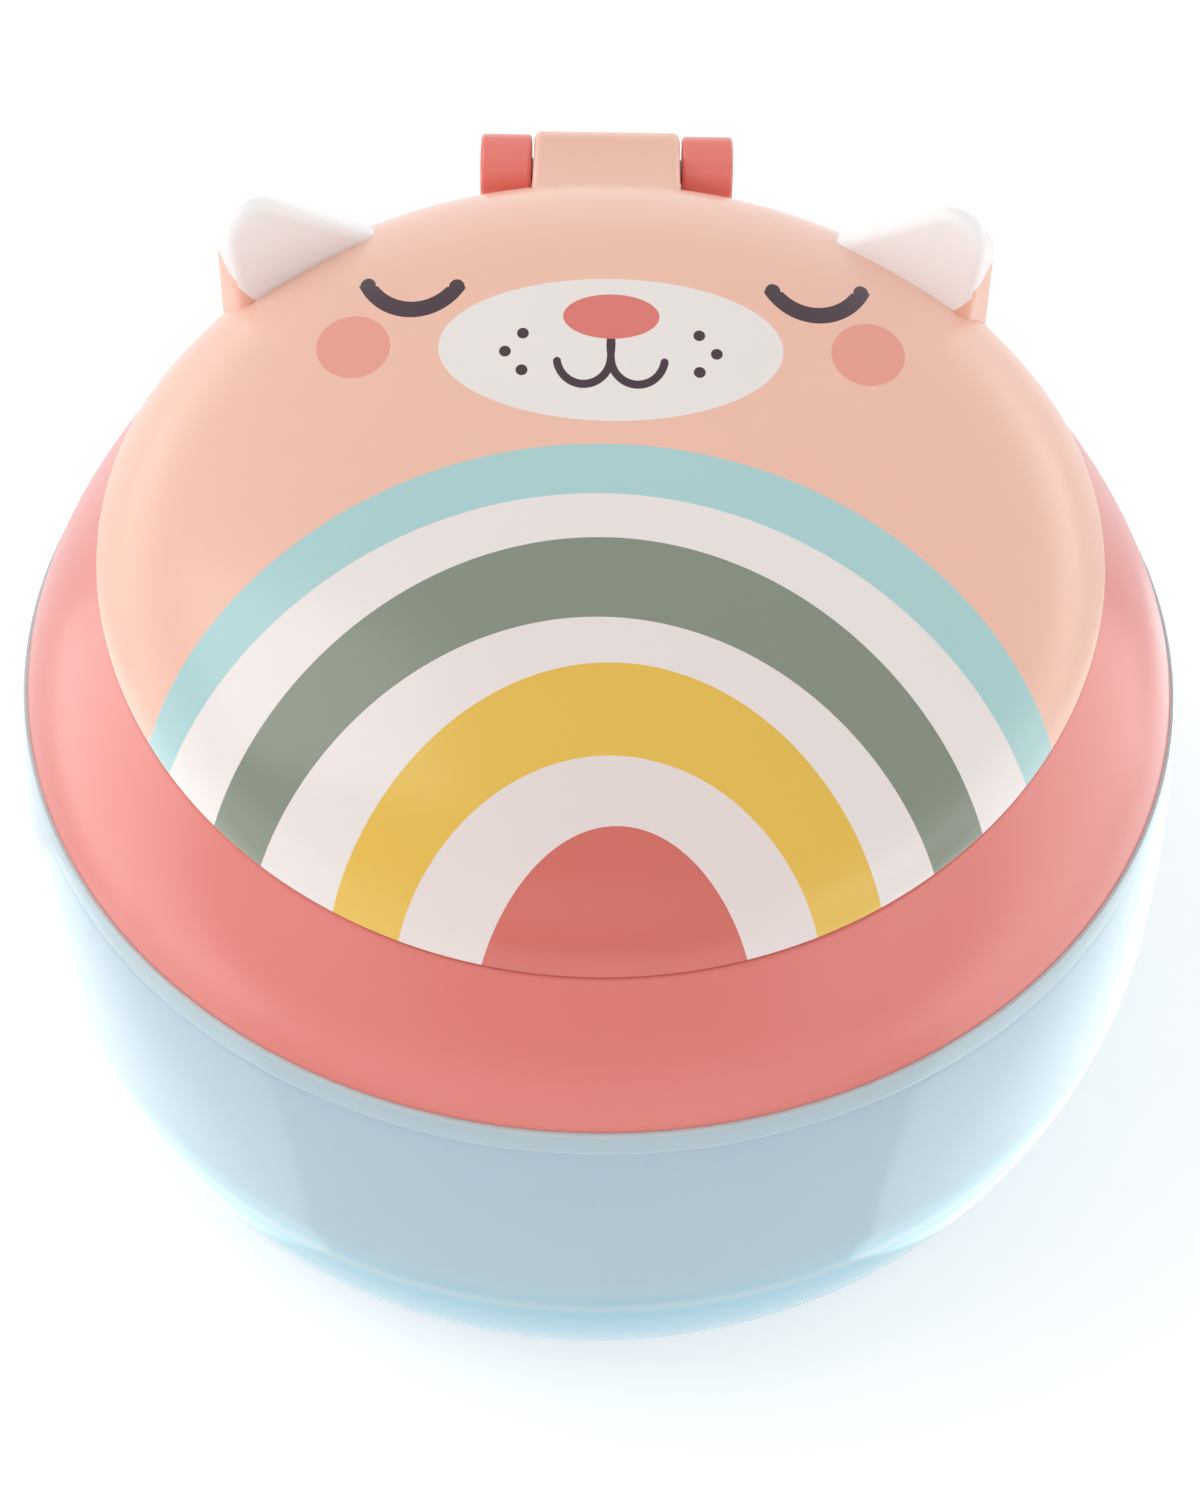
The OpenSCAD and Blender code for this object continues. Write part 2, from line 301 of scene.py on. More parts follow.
def wrapped(name, rings):
    """A grid laid on closed rings of points, each ring joined to the next."""
    deselect()
    around = len(rings[0])
    bpy.ops.mesh.primitive_grid_add(x_subdivisions=around, y_subdivisions=len(rings) - 1, size=1)
    piece = bpy.context.object
    piece.name = name
    piece.data.name = name
    for vertex in piece.data.vertices:
        row, column = divmod(vertex.index, around + 1)
        vertex.co = Vector(rings[row][column % around]) * MM
    return piece


def turned(name, section, turns=TURNS):
    """A piece whose section (radius, height) is asked for at every angle round the axis."""
    angles = [math.tau * i / turns for i in range(turns)]
    sections = [section(a) for a in angles]
    rings = [[(s[row][0] * math.cos(a), s[row][0] * math.sin(a), s[row][1])
              for a, s in zip(angles, sections)] for row in range(len(sections[0]))]
    return clean(wrapped(name, rings))


def lofted(name, rings, smooth_angle):
    """A piece through rings of points, with its two open ends filled."""
    piece = wrapped(name, rings)
    clean(piece, smooth_angle)
    bpy.ops.object.mode_set(mode="EDIT")
    bpy.ops.mesh.select_mode(type="EDGE")
    bpy.ops.mesh.select_all(action="DESELECT")
    bpy.ops.mesh.select_non_manifold(extend=False, use_wire=False, use_multi_face=False,
                                     use_non_contiguous=False, use_verts=False)
    bpy.ops.mesh.fill_holes(sides=0)
    return clean(piece, smooth_angle)


print("a turned piece has", TURNS, "sides, each", round(math.tau * BODY_R / TURNS, 2), "mm wide")

# %% [markdown]
# Holes and reliefs are cut with bars on the hinge axis, as a drill would cut them. A boolean
# modifier does it, and is applied at once, so that each piece is left as a plain mesh.

# %% Cuts and bars
def apply_modifier(piece, kind, **settings):
    """Adds a modifier with its settings and applies it."""
    deselect()
    piece.select_set(True)
    bpy.context.view_layer.objects.active = piece
    modifier = piece.modifiers.new(kind.lower(), kind)
    for key, value in settings.items():
        setattr(modifier, key, value)
    bpy.ops.object.modifier_apply(modifier=modifier.name)


def cut(piece, cutter):
    """Takes one solid out of another and deletes the cutter."""
    apply_modifier(piece, "BOOLEAN", operation="DIFFERENCE", solver="EXACT", object=cutter)
    bpy.data.objects.remove(cutter)


def round_bar(name, radius, length, vertices=64):
    """A bar along X on the hinge axis."""
    deselect()
    bpy.ops.mesh.primitive_cylinder_add(vertices=vertices, radius=radius * MM, depth=length * MM,
                                        location=(0, HINGE_Y * MM, HINGE_Z * MM),
                                        rotation=(0, math.pi / 2, 0))
    bar = bpy.context.object
    bar.name = name
    bpy.ops.object.transform_apply(location=True, rotation=True, scale=True)
    return bar


print("bars lie", round(HINGE_Y, 2), "mm behind the middle and", round(HINGE_Z, 2), "mm up")

# %% [markdown]
# A flat moulded part is a plate: a filled outline that is extruded, set in its place and
# bevelled. Each piece is then attached to what carries it, and the solids it stands for are hidden.

# %% Plates, and what carries a piece
PLATE_EDGE = math.radians(40)


def plate(name, outline, thickness, place, edge):
    """An outline made solid: a filled ring of points, extruded, moved into place and eased."""
    deselect()
    bpy.ops.mesh.primitive_circle_add(vertices=len(outline), radius=1, fill_type="NGON")
    piece = bpy.context.object
    piece.name = name
    piece.data.name = name
    for vertex, point in zip(piece.data.vertices, outline):
        vertex.co = (point[0] * MM, point[1] * MM, -thickness / 2 * MM)
    bpy.ops.object.mode_set(mode="EDIT")
    bpy.ops.mesh.select_all(action="SELECT")
    bpy.ops.mesh.extrude_region_move(TRANSFORM_OT_translate={"value": (0, 0, thickness * MM)})
    bpy.ops.object.mode_set(mode="OBJECT")
    piece.data.transform(place)
    clean(piece)
    apply_modifier(piece, "BEVEL", width=edge * MM, segments=3, limit_method="ANGLE",
                   angle_limit=PLATE_EDGE)
    return clean(piece)


def finish(piece, body, slot, *nodes):
    """Attaches a piece to what carries it and hides the solids it stands for; its slot is not used.
    """
    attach(piece, body)
    if nodes:
        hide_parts(*nodes)
    print(piece.name, "has", len(piece.data.polygons), "faces")


print("a plate is bevelled where it turns by more than", round(math.degrees(PLATE_EDGE)), "degrees")

# %% [markdown]
# The bowl is one moulding: a foot ring, a full belly, a raised band under the seam, a shoulder
# for the collar and a neck. The inner wall follows the outer one. It is turned with twice the
# sides of the others, because light is bent at its edge and would show each side there.

# %% Bowl
FOOT_H = 1.0
FOOT_RING = 4.0
FLOOR_Z = FOOT_H + BOWL_WALL
FLOOR_FLAT = 20.0
BAND_Z = SEAM_Z - 2.4
BAND_PROUD = 0.3
SHOULDER_Z = 41.9
WALL_TOP = 38.0


def bowl_section(angle):
    """From the middle of the foot up to the neck and back inside; the same at every angle."""
    foot_in = BASE_R - FOOT_RING
    under = rounded([(0, FOOT_H), (foot_in - FOOT_H, FOOT_H, 0.5), (foot_in, 0, 0.5),
                     (BASE_R - 0.5, 0)])
    skin = lower_curve(BASE_R, BODY_R, 0) + upper_curve(BELT_Z, BAND_Z - 0.15, belly)[1:]
    top = rounded([(belly(BAND_Z), BAND_Z - 0.1), (belly(BAND_Z) + BAND_PROUD, BAND_Z + 0.15, 0.2),
                   (SEAM_R + BAND_PROUD, SEAM_Z, 0.1), (NECK_R, SEAM_Z, 0.5),
                   (NECK_R, NECK_TOP, 0.5), (NECK_IN, NECK_TOP, 0.6),
                   (NECK_IN, SEAM_Z - BOWL_WALL, 1.6),
                   (belly(SHOULDER_Z) - BOWL_WALL, SHOULDER_Z, 2.5),
                   (belly(WALL_TOP) - BOWL_WALL, WALL_TOP)])
    inside = upper_curve(WALL_TOP - 1, BELT_Z, belly, BOWL_WALL)
    floor = lower_curve(BASE_R - BOWL_WALL, BODY_R - BOWL_WALL, FLOOR_Z)[::-1][1:]
    return under + skin + top + inside + floor + [(FLOOR_FLAT, FLOOR_Z), (0, FLOOR_Z)]


bowl = turned("bowl_moulding", bowl_section, 2 * TURNS)
finish(bowl, "bowl", "bowl_plastic", "bowl")

# %% [markdown]
# The collar carries on the line of the ball. Its top edge follows the swept parting line, so the
# section is worked out afresh at each angle. Inside are the seat for the lid's skirt, the ledge
# that clamps the soft ring, and the bore that screws over the neck. A bar on the hinge axis cuts
# the room that the lid's knuckle turns in.

# %% Collar
BORE_START = SEAM_Z + 3
KNUCKLE_W = 15.0
KNUCKLE_R = 4.0
KNUCKLE_FIT = 0.3
LUG_X = KNUCKLE_W / 2 + 0.25


def collar_section(angle):
    """Round the collar: skin, top edge, seat, ledge, bore."""
    top_z = rim_height(angle, collar_outside)
    seat_z = parting(SEAT_R * math.sin(angle))
    skin = upper_curve(SEAM_Z + 0.5, top_z - 0.4, collar_outside, steps=20)
    start = rounded([(COLLAR_BORE, BORE_START), (COLLAR_BORE, SEAM_Z, 0.4),
                     (SEAM_R, SEAM_Z, 0.06), skin[0]])
    edge = rounded([skin[-1], (collar_outside(top_z), top_z, 0.25), (SEAT_R, seat_z, 0.4),
                    (SEAT_R, LEDGE_TOP, 0.3), (MOUTH_R, LEDGE_TOP, 0.5), (MOUTH_R, RING_TOP, 0.4),
                    (COLLAR_BORE, RING_TOP, 0.3), (COLLAR_BORE, BORE_START)])
    return start + skin[1:-1] + edge


collar = turned("collar_moulding", collar_section)
cut(collar, round_bar("relief", KNUCKLE_R + KNUCKLE_FIT, 2 * LUG_X))
clean(collar)
finish(collar, "screw_collar", "collar_plastic", "collar")

# %% [markdown]
# The hinge has two coral lugs on the collar, a peach knuckle on the lid between them and a
# steel pin through all three. A lug is a plate with a round eye, drawn from the side and made
# solid across the jar. It reaches into the collar's wall, and a gusset carries it below.

# %% Hinge lugs
LUG_W = 5.25
LUG_R = 3.65
LUG_EASE = 0.55
PIN_R = 1.25
DRILL = 40
ACROSS = Matrix(((0, 0, 1, 0), (1, 0, 0, 0), (0, 1, 0, 0), (0, 0, 0, 1)))
GUSSET_Z = HINGE_Z - 10
LUG_IN = math.sqrt(collar_outside(RIM_LOW) ** 2 - (LUG_X + LUG_W) ** 2)


def eye(radius, start, end, steps=28):
    """Arc about the hinge axis, in degrees from the rear, as points (y, z)."""
    turns = [math.radians(start + (end - start) * i / steps) for i in range(steps + 1)]
    return [(HINGE_Y + radius * math.cos(a), HINGE_Z + radius * math.sin(a)) for a in turns]


lug_outline = eye(LUG_R, 0, 180) + [(LUG_IN, RIM_LOW - 1), (LUG_IN, GUSSET_Z),
                                    (collar_outside(GUSSET_Z), GUSSET_Z)]
for side, name in ((-1, "lug_left"), (1, "lug_right")):
    place = Matrix.Translation((side * (LUG_X + LUG_W / 2) * MM, 0, 0)) @ ACROSS
    lug = plate(name, lug_outline, LUG_W, place, LUG_EASE)
    cut(lug, round_bar("eye", PIN_R, DRILL, 32))
    clean(lug)
    finish(lug, "screw_collar", "collar_plastic", "collar")

# %% [markdown]
# The knuckle is a plate too: a round eye with a tab that reaches forward into the lid. The pin
# is a bar with eased ends that stops a little short of the lugs' outer faces, as a pressed-in
# pin does.

# %% Knuckle and pin
KNUCKLE_EASE = 0.7
TAB_Y = SKIRT_R - 0.8
PIN_FIT = 0.05
PIN_SHORT = 0.4

knuckle_outline = [(TAB_Y, RIM_Z - 0.4), (TAB_Y, RIM_Z + 4.3)] + eye(KNUCKLE_R, 100, -172)
knuckle = plate("lid_knuckle", knuckle_outline, KNUCKLE_W, ACROSS, KNUCKLE_EASE)
cut(knuckle, round_bar("eye", PIN_R + PIN_FIT, DRILL, 32))
clean(knuckle)
finish(knuckle, "lid", "lid_plastic", "lid_shell")

pin = round_bar("hinge_pin_wire", PIN_R, 2 * (LUG_X + LUG_W - PIN_SHORT), 48)
apply_modifier(pin, "BEVEL", width=0.25 * MM, segments=3, limit_method="ANGLE")
clean(pin)
finish(pin, "screw_collar", "pin_steel", "hinge_pin")

# %% [markdown]
# The lid is a domed shell. Its rim drops a hairline short of the collar, and a skirt with a snap
# bead reaches down inside it. The wall is even, so the inside of the dome is the outside moved
# in square to itself.

# %% Lid
BEAD = 0.2
BEAD_Z = LEDGE_TOP + 1.5
SLOPE_STEP = 0.01


def dome(wall, low_z, steps):
    """Points from the crown down to a height, moved in square to the outside by a wall."""
    points = []
    for i in range(steps + 1):
        z = CROWN_Z - (CROWN_Z - low_z) * (1 - math.cos(math.pi / 2 * i / steps))
        high = min(CROWN_Z, z + SLOPE_STEP)
        fall = lid_outside(high - SLOPE_STEP) - lid_outside(high)
        slant = math.hypot(fall, SLOPE_STEP)
        radius = lid_outside(z) - wall * SLOPE_STEP / slant
        points.append((max(0.0, radius), z - wall * fall / slant))
    points[0] = (0, CROWN_Z - wall)
    return points


def lid_section(angle):
    """Outside from the crown to the rim, under it to the skirt, and back up the inside."""
    rim_z = rim_height(angle, lid_outside, lid_gap(angle))
    root_z = parting(SKIRT_R * math.sin(angle), lid_gap(angle))
    skin = dome(0, rim_z + 0.4, 48)
    inner = [p for p in dome(LID_WALL, RIM_Z - 1, 40) if p[0] < SKIRT_IN - 0.6]
    under = rounded([skin[-1], (lid_outside(rim_z), rim_z, 0.25), (SKIRT_R, root_z, 0.4),
                     (SKIRT_R, BEAD_Z + 2 * BEAD), (SKIRT_R + BEAD, BEAD_Z, 0.2),
                     (SKIRT_R, BEAD_Z - 2 * BEAD), (SKIRT_R, LEDGE_TOP, 0.5),
                     (SKIRT_IN, LEDGE_TOP, 0.5), (SKIRT_IN, inner[-1][1] - 1.5, 1.5), inner[-1]])
    return skin[:-1] + under + inner[::-1][1:]


lid = turned("lid_moulding", lid_section)
finish(lid, "lid", "lid_plastic", "lid_shell")

# %% [markdown]
# An ear is a blade with an upright outer edge, a round tip and a long slope to the crown. It is
# thickest at its root and leans back. A plate with a bevel would keep one thickness, so the
# outline is drawn once, with arcs round the tip and the feet, and spaced out evenly.

# %% Outline of an ear
EAR_H = 8.7
EAR_OUT = 7.5
EAR_FOOT = 9.4
EAR_TIP = 3.8
EAR_HEEL = 1.5
EAR_DEEP = 7.5
EAR_POINTS = 160


def arc(x, y, radius, start, end, steps=24):
    """Points round a centre between two angles in degrees."""
    turns = [math.radians(start + (end - start) * i / steps) for i in range(steps + 1)]
    return [Vector((x + radius * math.cos(a), y + radius * math.sin(a))) for a in turns]


def resampled(points, count):
    """The same closed outline with evenly spaced points."""
    points = points + [points[0]]
    lengths = [0.0]
    for a, b in zip(points, points[1:]):
        lengths.append(lengths[-1] + (b - a).length)
    even = []
    k = 0
    for i in range(count):
        goal = lengths[-1] * i / count
        while lengths[k + 1] < goal:
            k += 1
        part = (goal - lengths[k]) / max(1e-9, lengths[k + 1] - lengths[k])
        even.append(points[k].lerp(points[k + 1], part))
    return even


def ear_outline():
    """Outline of an ear, inwards and up from its root."""
    tip = Vector((EAR_TIP - EAR_OUT, EAR_H - EAR_TIP))
    foot = Vector((EAR_FOOT - EAR_HEEL, -EAR_HEEL))
    slope = foot - tip
    lean = math.atan2(slope.y, slope.x) + math.acos((EAR_TIP - EAR_HEEL) / slope.length)
    lean = math.degrees(lean)
    points = arc(tip.x, tip.y, EAR_TIP, 180, lean)
    points += arc(foot.x, foot.y, EAR_HEEL, lean, 0)
    points += arc(foot.x, -EAR_DEEP, EAR_HEEL, 0, -90, 8)
    points += arc(EAR_HEEL - EAR_OUT, -EAR_DEEP, EAR_HEEL, -90, -180, 8)
    return resampled(points, EAR_POINTS)


print("an ear's outline has", len(ear_outline()), "points")

# %% [markdown]
# An ear has its own axes: inwards, up and back. It stands on the dome, faces forward and a little
# towards the middle, and leans back. Its thickness falls from the root to the tip.

# %% Place of an ear
EAR_T = 5.5
EAR_TIP_T = 2.4
EAR_R = RIM_R - 6.5
EAR_SIDE = math.radians(44)
EAR_TURN = math.radians(33)
EAR_LEAN = math.radians(15)
EAR_ROOT = Vector((EAR_R * math.cos(EAR_SIDE), EAR_R * math.sin(EAR_SIDE), dome_height(EAR_R)))
EAR_IN = Vector((-math.cos(EAR_TURN), math.sin(EAR_TURN), 0))
EAR_BACK = Vector((math.sin(EAR_TURN), math.cos(EAR_TURN), 0))
EAR_UP = EAR_BACK * math.sin(EAR_LEAN) + Vector((0, 0, math.cos(EAR_LEAN)))
EAR_DEPTH = EAR_BACK * math.cos(EAR_LEAN) - Vector((0, 0, math.sin(EAR_LEAN)))


def ear_thickness(up):
    """Thickness of an ear at a height above its root."""
    return EAR_TIP_T + (EAR_T - EAR_TIP_T) * (EAR_H - up) / (EAR_H + EAR_HEEL)


print("an ear stands at", [round(length, 1) for length in EAR_ROOT], "mm")

# %% [markdown]
# Rings of the outline are set one behind the other, drawn in a little at the front and at the
# back, where the edges are eased. The left ear is the right one mirrored. Each root is cut to
# the lid's dome, so that a crease shows there, as between two mouldings.

# %% Ears
EAR_EASE = 1.15
EASE_STEPS = 6
EAR_SINK = 0.3


def ear_rings(side):
    """Rings of one ear: each layer has its scale, its inset and its depth from a face."""
    outline = ear_outline()
    layers = [(0.02, 0, 0), (0.5, 0, 0)]
    layers += [(1, EAR_EASE * (1 - math.sin(a)), EAR_EASE * (1 - math.cos(a)))
               for a in (math.pi / 2 * k / EASE_STEPS for k in range(EASE_STEPS + 1))]
    rings = []
    for turn_back in (False, True):
        for scale, inset, depth in (layers[::-1] if turn_back else layers):
            ring = []
            for i, p in enumerate(outline):
                run = (outline[(i + 1) % EAR_POINTS] - outline[i - 1]).normalized()
                q = p * scale + Vector((run.y, -run.x)) * inset
                behind = ear_thickness(q.y) - depth if turn_back else depth
                point = EAR_ROOT + EAR_IN * q.x + EAR_UP * q.y + EAR_DEPTH * behind
                ring.append((side * point.x, point.y, point.z))
            rings.append(ring)
    return rings


def core_section(angle):
    """The lid's dome, lowered a little and filled; the same at every angle."""
    skin = [(max(0, r - EAR_SINK), z - EAR_SINK)
            for r, z in upper_curve(20, CROWN_Z, lid_outside, steps=90)]
    return [(0, 20)] + skin + [(0, CROWN_Z - EAR_SINK)]


for side, name in ((-1, "left"), (1, "right")):
    ear = lofted("ear_moulding_" + name, ear_rings(side), smooth_angle=60)
    cut(ear, turned("core", core_section))
    clean(ear, smooth_angle=50)
    finish(ear, "lid", "ear_plastic", "ear_" + name)

# %% [markdown]
# Under the lid lies a soft ring, clamped between the neck and the collar's ledge. Its hole is a
# hexagon, so that each petal bends along a straight line. The hole's radius is asked for at
# every angle, as the lid's edge was, and a lip below centres the ring in the neck.

# %% Soft ring
PETALS = 6
FLAP_T = 1.2
FLAP_REACH = MOUTH_R - 12.0
HOLE_APOTHEM = FLAP_REACH + FLAP_T / 2 + 0.2
LIP_R = NECK_IN - 0.3
LIP_WALL = 2
LIP_Z = NECK_TOP - 2.5


def ring_section(angle):
    """Flat ring with a hexagonal hole, and the lip that centres it in the neck."""
    sixth = math.tau / PETALS
    turn = (angle + sixth / 2) % sixth - sixth / 2
    hole = HOLE_APOTHEM / math.cos(turn)
    return rounded([(hole, NECK_TOP + 1), (hole, NECK_TOP, 0.4), (LIP_R - LIP_WALL, NECK_TOP, 0.3),
                    (LIP_R - LIP_WALL, LIP_Z, 0.5), (LIP_R, LIP_Z, 0.5), (LIP_R, NECK_TOP, 0.2),
                    (RING_R, NECK_TOP, 0.4), (RING_R, RING_TOP, 0.4), (hole, RING_TOP, 0.6),
                    (hole, NECK_TOP + 1)])


ring = turned("soft_ring", ring_section)
finish(ring, "insert", "soft_insert", "flap_ring")

# %% [markdown]
# A petal is a thin plate with a rounded tip, and a small hand parts the six of them. One outline
# serves for all: each is lifted to the ring's height and turned by another sixth.

# %% Petals
HALF = math.pi / PETALS
SLIT = 0.7
TIP_R = 6.0
FLAP_EASE = 0.45


def flap_outline():
    """A petal from its bending line to its rounded tip, as points (outwards, across)."""
    shoulder = FLAP_REACH - FLAP_T
    root = FLAP_REACH * math.tan(HALF) - SLIT / math.cos(HALF) - FLAP_T
    wide = shoulder * math.tan(HALF) - SLIT / math.cos(HALF) / 2
    tip = TIP_R * math.tan(HALF) - SLIT / math.cos(HALF) / 2
    return rounded([(FLAP_REACH, root, 0.4), (shoulder, wide, 1.2), (TIP_R, tip, 1.6),
                    (TIP_R, -tip, 1.6), (shoulder, -wide, 1.2), (FLAP_REACH, -root, 0.4)],
                   closed=True, steps=6)


lift = Matrix.Translation((0, 0, (NECK_TOP + 1) * MM))
for i in range(PETALS):
    spin = Matrix.Rotation(math.tau * i / PETALS, 4, "Z")
    flap = plate("petal_sheet_%d" % (i + 1), flap_outline(), FLAP_T, spin @ lift, FLAP_EASE)
    finish(flap, "petal_%d" % (i + 1), "soft_insert", "flap_%d" % (i + 1))

# %% [markdown]
# The quick thread has three ridges on the neck and three in the collar's bore. Each follows a
# helix that rises 15 mm in a whole turn. A ridge is a small blunt section carried along it, and
# it tapers to nothing at both ends, as moulded threads do. The screw modifier makes the helix
# but not the taper, so the rings are worked out here.

# %% Quick thread
STARTS = 3
LEAD = 15.0
RIDGE_SWEEP = math.radians(88)
RIDGE_H = 0.9
RIDGE_W = 1.5
RIDGE_ROOT = 0.3
RIDGE_STEPS = 44
TAPERS = 9
END_H = 0.02
END_W = 0.4
NECK_START = 47.2
BORE_LOW = 46.4
BORE_TURN = math.radians(28)


def ridge(name, radius, inward, start_z, start):
    """One thread ridge: its section carried round and up, thinned at both ends."""
    rings = []
    for i in range(RIDGE_STEPS + 1):
        t = i / RIDGE_STEPS
        angle = start + RIDGE_SWEEP * t
        z = start_z + LEAD * RIDGE_SWEEP * t / math.tau
        swell = max(END_H, min(1.0, t * TAPERS, (1 - t) * TAPERS))
        narrow = END_W + (1 - END_W) * swell
        crest = radius + inward * RIDGE_H * swell
        base = radius - inward * RIDGE_ROOT
        shape = ((base, -RIDGE_W / 2), (radius, -RIDGE_W / 2), (crest, -RIDGE_W / 5),
                 (crest, RIDGE_W / 5), (radius, RIDGE_W / 2), (base, RIDGE_W / 2))
        rings.append([(r * math.cos(angle), r * math.sin(angle), z + h * narrow)
                      for r, h in shape])
    return lofted(name, rings, smooth_angle=40)


for i in range(STARTS):
    turn = math.tau * i / STARTS
    outer = ridge("neck_thread_%d" % (i + 1), NECK_R, 1, NECK_START, turn)
    finish(outer, "bowl", "bowl_plastic")
    inner = ridge("collar_thread_%d" % (i + 1), COLLAR_BORE, -1, BORE_LOW, turn + BORE_TURN)
    finish(inner, "screw_collar", "collar_plastic")

# %% [markdown]
# Each finish is a small tree of nodes. One function turns a written colour into the linear
# numbers that the shader wants. Another adds a node and fills its inputs, so that a tree reads
# like a recipe, from what goes in to what comes out.

# %% Colour and node helpers
def linear(hex_code):
    """A colour written as in a paint program, as linear red, green, blue and alpha."""
    channels = [int(hex_code[i:i + 2], 16) / 255 for i in (1, 3, 5)]
    return tuple(c / 12.92 if c <= 0.04045 else ((c + 0.055) / 1.055) ** 2.4
                 for c in channels) + (1.0,)


def add(tree, kind, inputs=None, **settings):
    """Adds a node with its settings. An input takes a value, a socket or another node."""
    node = tree.nodes.new("ShaderNode" + kind)
    for key, value in settings.items():
        setattr(node, key, value)
    for key, value in (inputs or {}).items():
        if isinstance(value, bpy.types.Node):
            value = value.outputs[0]
        if isinstance(value, bpy.types.NodeSocket):
            tree.links.new(value, node.inputs[key])
        else:
            node.inputs[key].default_value = value
    return node


def new_material(name):
    """A material with an empty tree, and the place on the piece in millimetres."""
    material = bpy.data.materials.new(name)
    material.use_nodes = True
    tree = material.node_tree
    tree.nodes.clear()
    place = add(tree, "TexCoord").outputs["Object"]
    return material, tree, add(tree, "VectorMath", {0: place, "Scale": 1 / MM}, operation="SCALE")


def pieces_named(start):
    """The pieces whose names start with a word."""
    return [piece for piece in bpy.data.objects if piece.name.startswith(start)]


def dress(material, *pieces):
    """Puts one finish on pieces."""
    for piece in pieces:
        piece.data.materials.clear()
        piece.data.materials.append(material)
    print(material.name, "is on", len(pieces), "pieces")


print("mid grey, linear:", [round(c, 3) for c in linear("#808080")])

# %% [markdown]
# Collar, lid and ears are polypropylene, injected into a satin mould. It is a soft plastic with
# an IOR of 1.49. A little light travels under the surface and takes the hardness off the
# shadows. The mould leaves a faint uneven gloss with features of a millimetre or two, and a
# skin of fine ripples about 0.4 mm wide that barely bends the reflections.

# %% Moulded polypropylene
PP_IOR = 1.49
CORAL = "#e07a72"
PEACH = "#f4c2ae"


def mottle(tree, place, colour, strength, size=9.0):
    """A colour, written or from a node, made faintly uneven in patches of a size."""
    if isinstance(colour, str):
        colour = linear(colour)[:3]
    noise = add(tree, "TexNoise", {"Vector": place, "Scale": 1 / size, "Detail": 3.0})
    shade = add(tree, "MapRange", {"Value": noise, "To Min": 1 - strength, "To Max": 1 + strength})
    return add(tree, "VectorMath", {0: colour, "Scale": shade}, operation="SCALE")


def satin(tree, place, low, high, size=1.6):
    """A roughness that wanders between two values."""
    noise = add(tree, "TexNoise", {"Vector": place, "Scale": 1 / size, "Detail": 2.0})
    return add(tree, "MapRange", {"Value": noise, "To Min": low, "To Max": high})


def ripple(tree, place, depth, size=0.4):
    """A bump for the mould's fine skin."""
    noise = add(tree, "TexNoise", {"Vector": place, "Scale": 1 / size, "Detail": 1.0})
    return add(tree, "Bump", {"Height": noise, "Strength": 1.0, "Distance": depth * MM})


def polypropylene(name, colour):
    """Satin moulded plastic in a written colour, or in a print that returns a colour socket."""
    material, tree, place = new_material(name)
    if callable(colour):
        colour = colour(tree, place)
    shader = add(tree, "BsdfPrincipled", {
        "Base Color": mottle(tree, place, colour, 0.015),
        "Roughness": satin(tree, place, 0.2, 0.27),
        "Normal": ripple(tree, place, 0.004),
        "IOR": PP_IOR,
        "Subsurface Weight": 0.12,
        "Subsurface Scale": 2 * MM,
        "Subsurface Radius": (1.0, 0.6, 0.4)})
    add(tree, "OutputMaterial", {"Surface": shader})
    return material


coral_pp = polypropylene("coral moulded polypropylene", CORAL)
peach_pp = polypropylene("peach moulded polypropylene", PEACH)
dress(coral_pp, collar, *pieces_named("collar_thread"))
dress(peach_pp, knuckle)

# %% [markdown]
# The lugs are solid blocks of the collar's plastic. Their finish is the collar's coral painted
# lighter: a painted highlight for the light that falls on them from above.

# %% Lugs' finish
# The collar's coral painted lighter, as painted light on the lugs
PAINTED_LIT_CORAL = "#ee8379"
dress(polypropylene("coral moulded polypropylene in thick lugs", PAINTED_LIT_CORAL), *pieces_named("lug_"))

# %% [markdown]
# The front of the lid is printed. An image could be wrapped on it, but shapes worked out from
# the place on the lid stay sharp. Seen from 45 degrees above the front, each edge of the arches
# is an oval, so a colour only needs its place in that view.

# %% Shapes for a print
def flat_place(tree, place):
    """The place seen from 45 degrees above the front: across and up, in millimetres."""
    across = add(tree, "SeparateXYZ", {0: place})
    slope = (0.0, math.sqrt(0.5), math.sqrt(0.5))
    up = add(tree, "VectorMath", {0: place, 1: slope}, operation="DOT_PRODUCT").outputs["Value"]
    return add(tree, "CombineXYZ", {0: across, 1: up})


def oval(tree, flat, x, y, wide, high):
    """1 inside an oval with these half widths, 0 outside."""
    moved = add(tree, "VectorMath", {0: flat, 1: (x, y, 0)}, operation="SUBTRACT")
    squashed = add(tree, "VectorMath", {0: moved, 1: (wide, high, 1)}, operation="DIVIDE")
    reach = add(tree, "VectorMath", {0: squashed}, operation="LENGTH").outputs["Value"]
    return add(tree, "Math", {0: reach, 1: 1.0}, operation="LESS_THAN")


